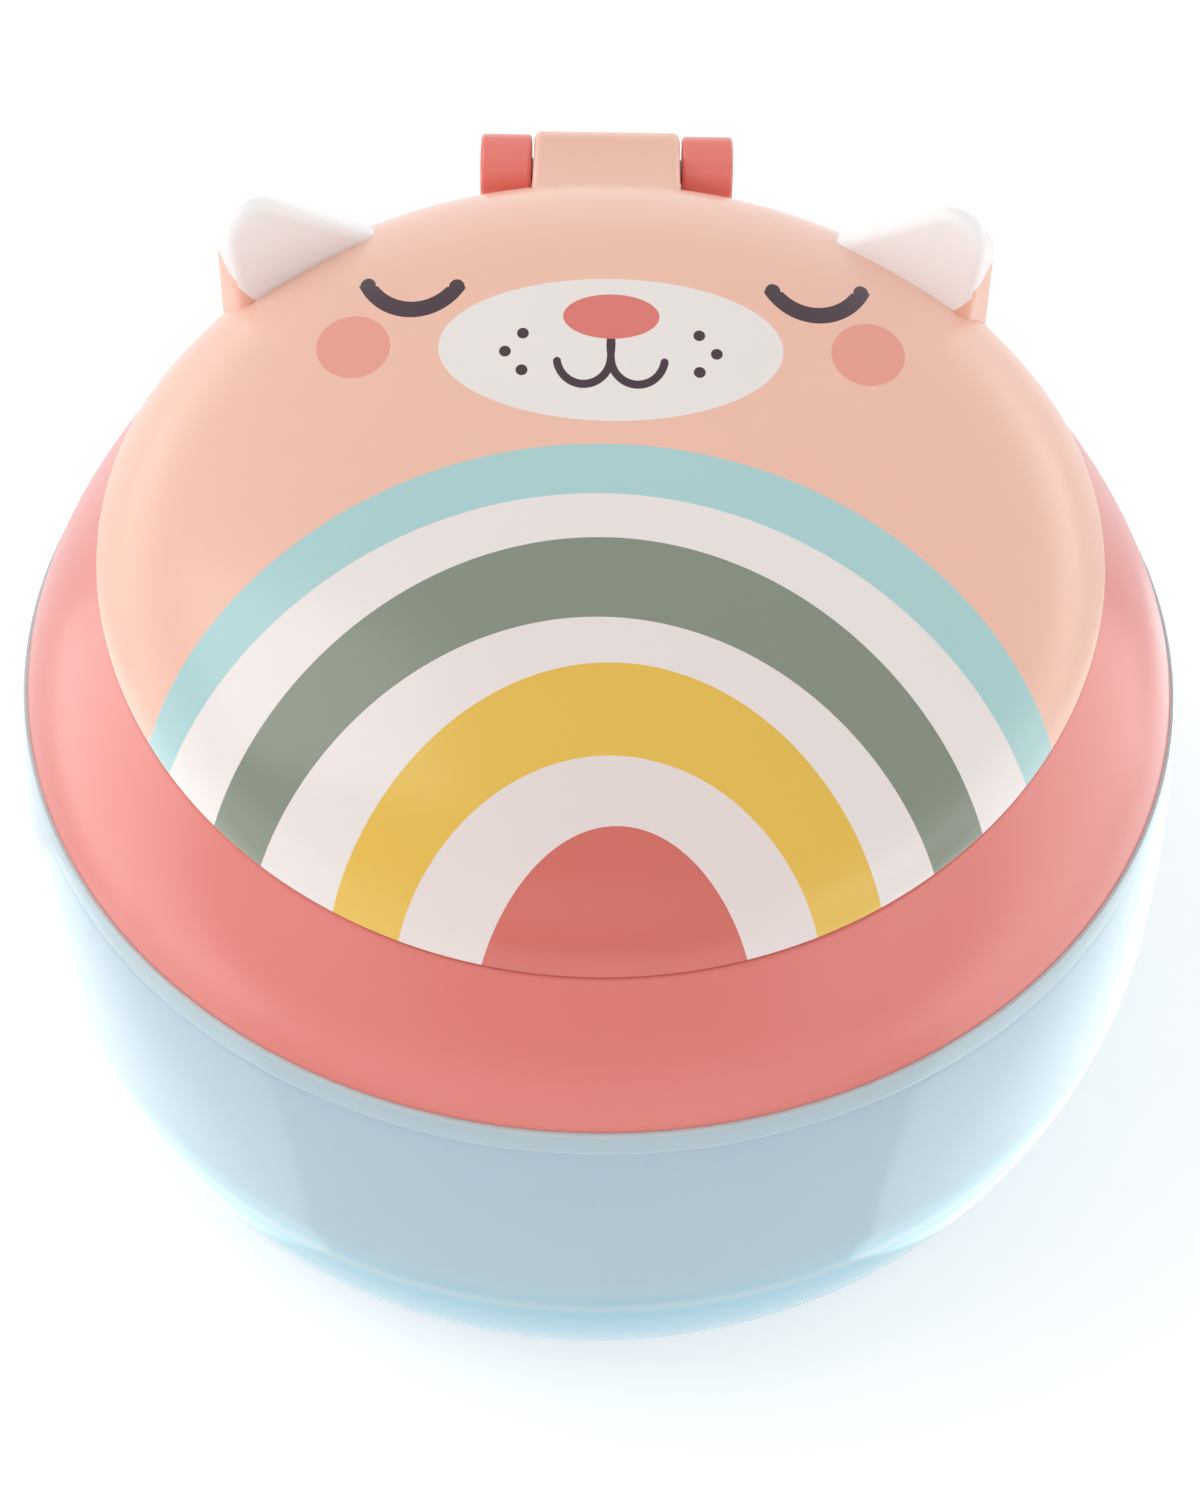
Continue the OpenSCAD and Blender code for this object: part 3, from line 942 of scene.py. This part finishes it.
def pen_stroke(tree, flat, x, y, radius, width, start, end):
    """1 on part of a circle between two angles in degrees, drawn by a pen with a round tip."""
    centre = (x, y, 0)
    away = add(tree, "VectorMath", {0: flat, 1: centre}, operation="DISTANCE").outputs["Value"]
    off_line = add(tree, "Math", {0: away, 1: radius}, operation="SUBTRACT")
    off_line = add(tree, "Math", {0: off_line}, operation="ABSOLUTE")
    on_ring = add(tree, "Math", {0: off_line, 1: width / 2}, operation="LESS_THAN")
    middle = math.radians((start + end) / 2)
    spread = math.radians(abs(end - start) / 2)
    moved = add(tree, "VectorMath", {0: flat, 1: centre}, operation="SUBTRACT")
    ahead = add(tree, "VectorMath", {0: moved, 1: (math.cos(middle), math.sin(middle), 0)},
                operation="DOT_PRODUCT").outputs["Value"]
    in_fan = add(tree, "Math", {0: ahead, 1: radius * math.cos(spread)}, operation="GREATER_THAN")
    mask = add(tree, "Math", {0: on_ring, 1: in_fan}, operation="MULTIPLY")
    for degrees in (start, end):
        a = math.radians(degrees)
        tip = oval(tree, flat, x + radius * math.cos(a), y + radius * math.sin(a),
                   width / 2, width / 2)
        mask = add(tree, "Math", {0: mask, 1: tip}, operation="MAXIMUM")
    return mask


def ink(tree, base, mask, hex_code):
    """Lays an ink over a colour where the mask is 1."""
    # A mix of colours takes them at its inputs 6 and 7, and gives them at its output 2
    return add(tree, "Mix", {0: mask, 6: base, 7: linear(hex_code)}, data_type="RGBA").outputs[2]


print("the crown lies", round(CROWN_Z * math.sqrt(0.5), 1), "mm up in the flat view")

# %% [markdown]
# The inks are flat colours, one screen for each. Their places are measured in the flat view, in
# millimetres across and up, from the middle of the jar.

# %% Inks and places of the print
# Each arch: its centre across and up, its half width and half height, and its ink
ARCHES = ((0.37, 15.63, 41.65, 36.74, "#aed3d3"), (0.05, 8.1, 40.69, 39.95, "#eee6e3"),
          (0.2, 6.25, 35.58, 38.06, "#87907f"), (0.16, 3.81, 31.19, 33.89, "#ece2df"),
          (1.14, 4.17, 24.64, 29.82, "#e8be50"), (1.21, 4.72, 18.6, 21.75, "#e9dcd9"),
          (1.79, 0.33, 12.45, 20.44, "#d56e63"))
INK_DARK = "#46303a"
INK_WHITE = "#efe8e4"
INK_CHEEK = "#eda190"
INK_NOSE = "#e17a72"
# Each oval of the face: its centre up, its half width and half height
MUZZLE = (61.0, 16.0, 6.6)
CHEEK = (60.8, 3.5, 2.9)
STEM = (61.4, 0.42, 1.7)
NOSE = (64.0, 4.5, 2.1)
# A closed eye: its centre up, radius, pen, and the angles it starts and ends at
CLOSED_EYE = (69.6, 5.2, 1.5, 215, 325)
FACE_X = 0.65
EYES_X = 0.95
EYE_ASIDE = 19.2
CHEEK_ASIDE = 24.0
LIP_Y = 60.2
LIP_RADIUS = 2.5
LIP_PEN = 0.75
DOT_ASIDE = 8.2
DOT_Y = 58.9
DOT_STEP = (1.6, 1.7)
DOT_SIZE = (0.55, 0.5)
print("arches and the white between them:", len(ARCHES), "ovals")

# %% [markdown]
# The arches are laid as ovals: the widest first, and each smaller one covers the middle of the
# last. The sleeping kitten's face above them is built up the same way, from a white muzzle,
# cheeks, closed eyes, a mouth, whisker dots and a nose.

# %% Printed lid
def lid_print(tree, place):
    """Peach lid with its arches and its face."""
    flat = flat_place(tree, place)
    colour = linear(PEACH)
    for x, y, wide, high, hex_code in ARCHES:
        colour = ink(tree, colour, oval(tree, flat, x, y, wide, high), hex_code)
    colour = ink(tree, colour, oval(tree, flat, FACE_X, *MUZZLE), INK_WHITE)
    for side, lip_start, lip_end in ((-1, 190, 360), (1, 180, 350)):
        cheek = oval(tree, flat, FACE_X + side * CHEEK_ASIDE, *CHEEK)
        colour = ink(tree, colour, cheek, INK_CHEEK)
        closed_eye = pen_stroke(tree, flat, EYES_X + side * EYE_ASIDE, *CLOSED_EYE)
        colour = ink(tree, colour, closed_eye, INK_DARK)
        lip = pen_stroke(tree, flat, FACE_X + side * LIP_RADIUS, LIP_Y, LIP_RADIUS, LIP_PEN,
                         lip_start, lip_end)
        colour = ink(tree, colour, lip, INK_DARK)
        for k in range(3):
            dot_x = FACE_X + side * (DOT_ASIDE + DOT_STEP[0] * (k % 2))
            dot = oval(tree, flat, dot_x, DOT_Y + DOT_STEP[1] * k, *DOT_SIZE)
            colour = ink(tree, colour, dot, INK_DARK)
    colour = ink(tree, colour, oval(tree, flat, FACE_X, *STEM), INK_DARK)
    return ink(tree, colour, oval(tree, flat, FACE_X, *NOSE), INK_NOSE)


printed_pp = polypropylene("peach polypropylene with printed inks", lid_print)
dress(printed_pp, lid)
lid.data.materials.append(peach_pp)

# %% [markdown]
# Only the outer skin of the lid takes the print. The lid is one mesh with two finishes, so each
# face is sorted: it is printed if it lies on the dome's outside and looks up, and plain peach if
# it doesn't.

# %% Printed and plain faces
SKIN_NEAR = 0.5
CAP_H = 1.0
LOOKS_UP = 0.05
for polygon in lid.data.polygons:
    centre = polygon.center / MM
    on_skin = abs(math.hypot(centre.x, centre.y) - lid_outside(centre.z)) < SKIN_NEAR
    outer = on_skin or centre.z > CROWN_Z - CAP_H
    polygon.material_index = 0 if outer and polygon.normal.z > LOOKS_UP else 1
print("printed faces:", sum(1 for polygon in lid.data.polygons if polygon.material_index == 0))

# %% [markdown]
# The ears are peach with a white printed front. The white stops in a curve on the outer side,
# where the blade turns away, and everywhere a little short of the back. Both ears use the same
# finish: it works in the plane of the right ear, and takes the left one as its mirror image.

# %% Ears' finish
EAR_WHITE = "#fbf8f8"
WHITE_SHORT = 0.2
WHITE_SIDE = (0.45, 3.66)
WHITE_RISE = (0.9, -1.0)
WHITE_X = 0.5
WHITE_Y = 5.1
WHITE_R = 8.8


def ear_print(tree, place):
    """Peach ear with a white front, from how far a point lies inward, up and behind."""
    parts = add(tree, "SeparateXYZ", {0: place}).outputs
    mirrored = add(tree, "Math", {0: parts[0]}, operation="ABSOLUTE")
    right = add(tree, "CombineXYZ", {0: mirrored, 1: parts[1], 2: parts[2]})
    local = add(tree, "VectorMath", {0: right, 1: EAR_ROOT}, operation="SUBTRACT")
    inward, up, behind = [add(tree, "VectorMath", {0: local, 1: axis},
                              operation="DOT_PRODUCT").outputs["Value"]
                          for axis in (EAR_IN, EAR_UP, EAR_DEPTH)]
    flat = add(tree, "CombineXYZ", {0: inward, 1: up})
    thinning = ear_thickness(1) - ear_thickness(0)
    back = add(tree, "Math", {0: up, 1: thinning, 2: ear_thickness(0) - WHITE_SHORT},
               operation="MULTIPLY_ADD")
    along = add(tree, "Math", {0: inward, 1: WHITE_SIDE[0], 2: WHITE_SIDE[1]},
                operation="MULTIPLY_ADD")
    above = add(tree, "Math", {0: up, 1: WHITE_RISE[0], 2: WHITE_RISE[1]},
                operation="MULTIPLY_ADD")
    side = add(tree, "Math", {0: along, 1: above}, operation="MAXIMUM")
    reach = add(tree, "Math", {0: side, 1: back}, operation="MINIMUM")
    before = add(tree, "Math", {0: behind, 1: reach}, operation="LESS_THAN")
    curve = oval(tree, flat, WHITE_X, WHITE_Y, WHITE_R, WHITE_R)
    top = add(tree, "Math", {0: up, 1: WHITE_Y}, operation="GREATER_THAN")
    inner = add(tree, "Math", {0: inward, 1: WHITE_X}, operation="GREATER_THAN")
    inside = add(tree, "Math", {0: top, 1: inner}, operation="MAXIMUM")
    inside = add(tree, "Math", {0: curve, 1: inside}, operation="MAXIMUM")
    white = add(tree, "Math", {0: before, 1: inside}, operation="MULTIPLY")
    return ink(tree, linear(PEACH), white, EAR_WHITE)


ear_pp = polypropylene("peach polypropylene with white ink", ear_print)
dress(ear_pp, *pieces_named("ear_moulding"))

# %% [markdown]
# The bowl is clear polypropylene with a pale blue tint and a glossy skin. It lets light through
# but blurs what lies behind. So it is mixed from a milky shader and a clear one: a third of it
# is clear where the wall faces the eye, and none where it turns away, because the light then
# has a long way through the plastic. A ramp over the height paints light into the tint: deeper
# and paler blue lines at the heel for light from the table seen through it, and a pale painted
# highlight on the band under the seam.

# %% Translucent bowl
MILK = "#cde1f0"
CLEAR = "#bbe4f1"
CLEAR_SHARE = 0.33
RAMP_TOP = 50.0
# These stops paint light into the tint: blue bands at the heel for light from the table seen through
# it, and pale lines under the seam for light caught by the band
PAINTED_LIGHT_STOPS = ((11.0, "#b3dff0"), (15.5, "#addef0"), (17.0, "#cae8f3"), (18.5, "#b9e0f0"),
                (20.5, "#c9e6f2"), (23.0, MILK), (42.9, MILK), (43.3, "#d2e7f2"),
                (45.2, "#d2e7f2"), (45.4, "#e4eeef"), (46.5, MILK))
PAINTED_FOOT_STOP = (5.0, "#c3e3f1")


def painted_light_bands(tree, place):
    """Painted light by height: blue bands at the heel and a painted highlight under the seam."""
    height = add(tree, "SeparateXYZ", {0: place}).outputs[2]
    share = add(tree, "Math", {0: height, 1: RAMP_TOP}, operation="DIVIDE")
    bands = add(tree, "ValToRGB", {0: share})
    bands.color_ramp.interpolation = "EASE"
    stops = bands.color_ramp.elements
    stops[0].position = PAINTED_FOOT_STOP[0] / RAMP_TOP
    stops[0].color = linear(PAINTED_FOOT_STOP[1])
    stops[1].position = 1.0
    stops[1].color = linear(MILK)
    for level, hex_code in PAINTED_LIGHT_STOPS:
        stops.new(level / RAMP_TOP).color = linear(hex_code)
    return bands


def translucent(name):
    """Tinted glossy polypropylene: a milky part and a clear part."""
    material, tree, place = new_material(name)
    # The milky part's colour carries the painted light bands by height
    milk = add(tree, "BsdfPrincipled", {
        "Base Color": mottle(tree, place, painted_light_bands(tree, place), 0.01, 14.0),
        "IOR": PP_IOR,
        "Roughness": 0.13,
        "Subsurface Weight": 0.5,
        "Subsurface Scale": 3 * MM,
        "Subsurface Radius": (0.8, 1.0, 1.0)})
    clear = add(tree, "BsdfPrincipled", {
        "Base Color": linear(CLEAR), "IOR": PP_IOR, "Roughness": 0.16, "Transmission Weight": 1.0})
    slant = add(tree, "LayerWeight", {"Blend": 0.5}).outputs["Facing"]
    share = add(tree, "MapRange", {"Value": slant, "From Min": 0.6, "From Max": 0.9,
                                   "To Min": CLEAR_SHARE, "To Max": 0.0})
    both = add(tree, "MixShader", {0: share, 1: milk, 2: clear})
    add(tree, "OutputMaterial", {"Surface": both})
    return material


blue_pp = translucent("blue tinted translucent polypropylene")
dress(blue_pp, bowl, *pieces_named("neck_thread"))

# %% [markdown]
# The ring and its petals are a soft elastomer with a dry, matt skin. Much light enters it, so
# its shadows are soft. The mould's texture is finer and deeper than on the hard pieces.

# %% Soft elastomer
def elastomer(name, hex_code):
    """Soft matt elastomer."""
    material, tree, place = new_material(name)
    shader = add(tree, "BsdfPrincipled", {
        "Base Color": mottle(tree, place, hex_code, 0.02),
        "Roughness": satin(tree, place, 0.5, 0.62),
        "Normal": ripple(tree, place, 0.008, 0.25),
        "IOR": 1.45,
        "Subsurface Weight": 0.3,
        "Subsurface Scale": 2 * MM})
    add(tree, "OutputMaterial", {"Surface": shader})
    return material


dress(elastomer("soft matt elastomer", "#f0ebe5"), ring, *pieces_named("petal_sheet"))

# %% [markdown]
# The pin is bright drawn steel wire. The die leaves fine scratches along its length. So the
# place is scaled before it reaches the noise, and the gloss varies in long narrow streaks.

# %% Drawn steel
ALONG_WIRE = (0.3, 12.0, 12.0)


def drawn_wire(name, hex_code):
    """Steel wire with scratches along X."""
    material, tree, place = new_material(name)
    streaks = add(tree, "VectorMath", {0: place, 1: ALONG_WIRE}, operation="MULTIPLY")
    shader = add(tree, "BsdfPrincipled", {
        "Base Color": mottle(tree, streaks, hex_code, 0.05, 2.0),
        "Roughness": satin(tree, streaks, 0.18, 0.32, 2.0),
        "Metallic": 1.0})
    add(tree, "OutputMaterial", {"Surface": shader})
    return material


dress(drawn_wire("bright drawn steel wire", "#c9ccd0"), pin)

# %% [markdown]
# The jar stands on a white floor that keeps a soft shadow. The floor glows a little by itself,
# and more to the camera, in gloss and through clear plastic, so that it reads as plain white
# there while no more light falls on the jar.

# %% Floor
FLOOR_SIZE = 6.0
FLOOR_PAINT = "#e7e7e7"
FLOOR_GLOW = 0.25
FLOOR_GLOW_SEEN = 0.16
bpy.ops.mesh.primitive_plane_add(size=FLOOR_SIZE, location=(0, 0, 0))
floor = bpy.context.object
floor.name = "studio_floor"
material, tree, _ = new_material("white painted floor")
paint = add(tree, "BsdfDiffuse", {"Color": linear(FLOOR_PAINT)})
path = add(tree, "LightPath").outputs
seen = add(tree, "Math", {0: path["Is Glossy Ray"], 1: path["Is Transmission Ray"]},
           operation="MAXIMUM")
seen = add(tree, "Math", {0: path["Is Camera Ray"], 1: seen}, operation="MAXIMUM")
strength = add(tree, "Math", {0: seen, 1: FLOOR_GLOW_SEEN, 2: FLOOR_GLOW}, operation="MULTIPLY_ADD")
glow = add(tree, "Emission", {"Color": (1, 1, 1, 1), "Strength": strength})
both = add(tree, "AddShader", {0: paint, 1: glow})
add(tree, "OutputMaterial", {"Surface": both})
dress(material, floor)

# %% [markdown]
# The surround is a white room. Its ceiling is even, and its side and back walls are brighter
# near the floor, the right one most. They light the jar's flanks and show as broad soft bands in
# the gloss. To the camera and through clear plastic the room is plain white.

# %% Surround
CEILING = 0.66
SIDE_WALLS = 1.4
WALL_TILT = 0.3
BACK_WALL = 0.5
world = bpy.data.worlds.new("surround")
bpy.context.scene.world = world
world.use_nodes = True
tree = world.node_tree
tree.nodes.clear()
way = add(tree, "SeparateXYZ", {0: add(tree, "TexCoord").outputs["Generated"]}).outputs
aside = add(tree, "Math", {0: way[0]}, operation="ABSOLUTE")
low, beside, behind = [add(tree, "MapRange", {"Value": value, "From Min": start, "From Max": end},
                           interpolation_type="SMOOTHSTEP")
                       for value, start, end in ((way[2], 0.4, 0.05), (aside, 0.3, 0.8),
                                                 (way[1], 0.1, 0.8))]
sides = add(tree, "Math", {0: way[0], 1: WALL_TILT, 2: SIDE_WALLS}, operation="MULTIPLY_ADD")
sides = add(tree, "Math", {0: beside, 1: sides}, operation="MULTIPLY")
back = add(tree, "Math", {0: behind, 1: BACK_WALL}, operation="MULTIPLY")
walls = add(tree, "Math", {0: sides, 1: back}, operation="ADD")
room = add(tree, "Math", {0: walls, 1: low, 2: CEILING}, operation="MULTIPLY_ADD")
path = add(tree, "LightPath").outputs
plain = add(tree, "Math", {0: path["Is Camera Ray"], 1: path["Is Transmission Ray"]},
            operation="MAXIMUM")
# A mix of plain numbers takes them at its inputs 2 and 3
power = add(tree, "Mix", {0: plain, 2: room, 3: 1.0}, data_type="FLOAT")
sky = add(tree, "Background", {"Color": (1, 1, 1, 1), "Strength": power})
add(tree, "OutputWorld", {"Surface": sky})
print("world nodes:", len(tree.nodes))

# %% [markdown]
# Two soft boxes light the jar: a strong one high on the left, which casts the shadow to the
# right, and a weak one in front. Glowing cards lie on the table beside and before the jar. They
# show in its gloss alone and draw the pale zones on the bowl and the light edge of the collar.

# %% Lamps
LAMP_AIM = Vector((0, 0, 0.04))
UPWARDS = Matrix.Rotation(math.pi, 4, "X")
CYAN = (0.8, 1.0, 1.0)
NEAR_CORNER = (0.030, -0.052, 0.001)
NEAR_LENGTH = 0.13
NEAR_TURN = math.radians(26)
FAR_PLACE = (0.53, -0.04, 0.001)
FAR_SIZE = (0.76, 0.24)


def soft_box(name, place, size, glow, turn=None, diffuse=True):
    """A flat lamp with a given glow (1 is white); it looks at the jar, or lies as it is turned."""
    lamp = bpy.data.lights.new(name, "AREA")
    lamp.shape = "RECTANGLE"
    lamp.size = size[0]
    lamp.size_y = size[1]
    lamp.energy = 4 * glow * size[0] * size[1]
    item = bpy.data.objects.new(name, lamp)
    bpy.context.scene.collection.objects.link(item)
    if turn is None:
        turn = (LAMP_AIM - Vector(place)).to_track_quat("-Z", "Y").to_matrix().to_4x4()
    item.matrix_world = Matrix.Translation(place) @ turn
    item.visible_camera = False
    item.visible_transmission = False
    item.visible_diffuse = diffuse
    print(name, "gives", round(lamp.energy, 3), "watts")
    return item


soft_box("soft_box_top", (-0.65, 0.1, 0.9), (0.8, 0.8), 1.25)
soft_box("soft_box_front", (0, -1.0, 0.6), (1.0, 0.6), 0.3)
for side, name, near, depth, far in ((-1, "left", 0.42, 0.07, 1.5), (1, "right", 0.6, 0.13, 1.3)):
    lie = Matrix.Rotation(-side * NEAR_TURN, 4, "Z")
    corner = Vector((side * NEAR_CORNER[0], NEAR_CORNER[1], NEAR_CORNER[2]))
    middle = corner + lie @ Vector((side * NEAR_LENGTH / 2, depth / 2, 0))
    card = soft_box("near_card_" + name, middle, (NEAR_LENGTH, depth), near, lie @ UPWARDS, False)
    card.data.color = CYAN
    far_place = (side * FAR_PLACE[0], FAR_PLACE[1], FAR_PLACE[2])
    soft_box("far_card_" + name, far_place, FAR_SIZE, far, UPWARDS, False)
soft_box("card_front", (0, -0.44, 0.001), (0.6, 0.6), 0.5, UPWARDS, False)
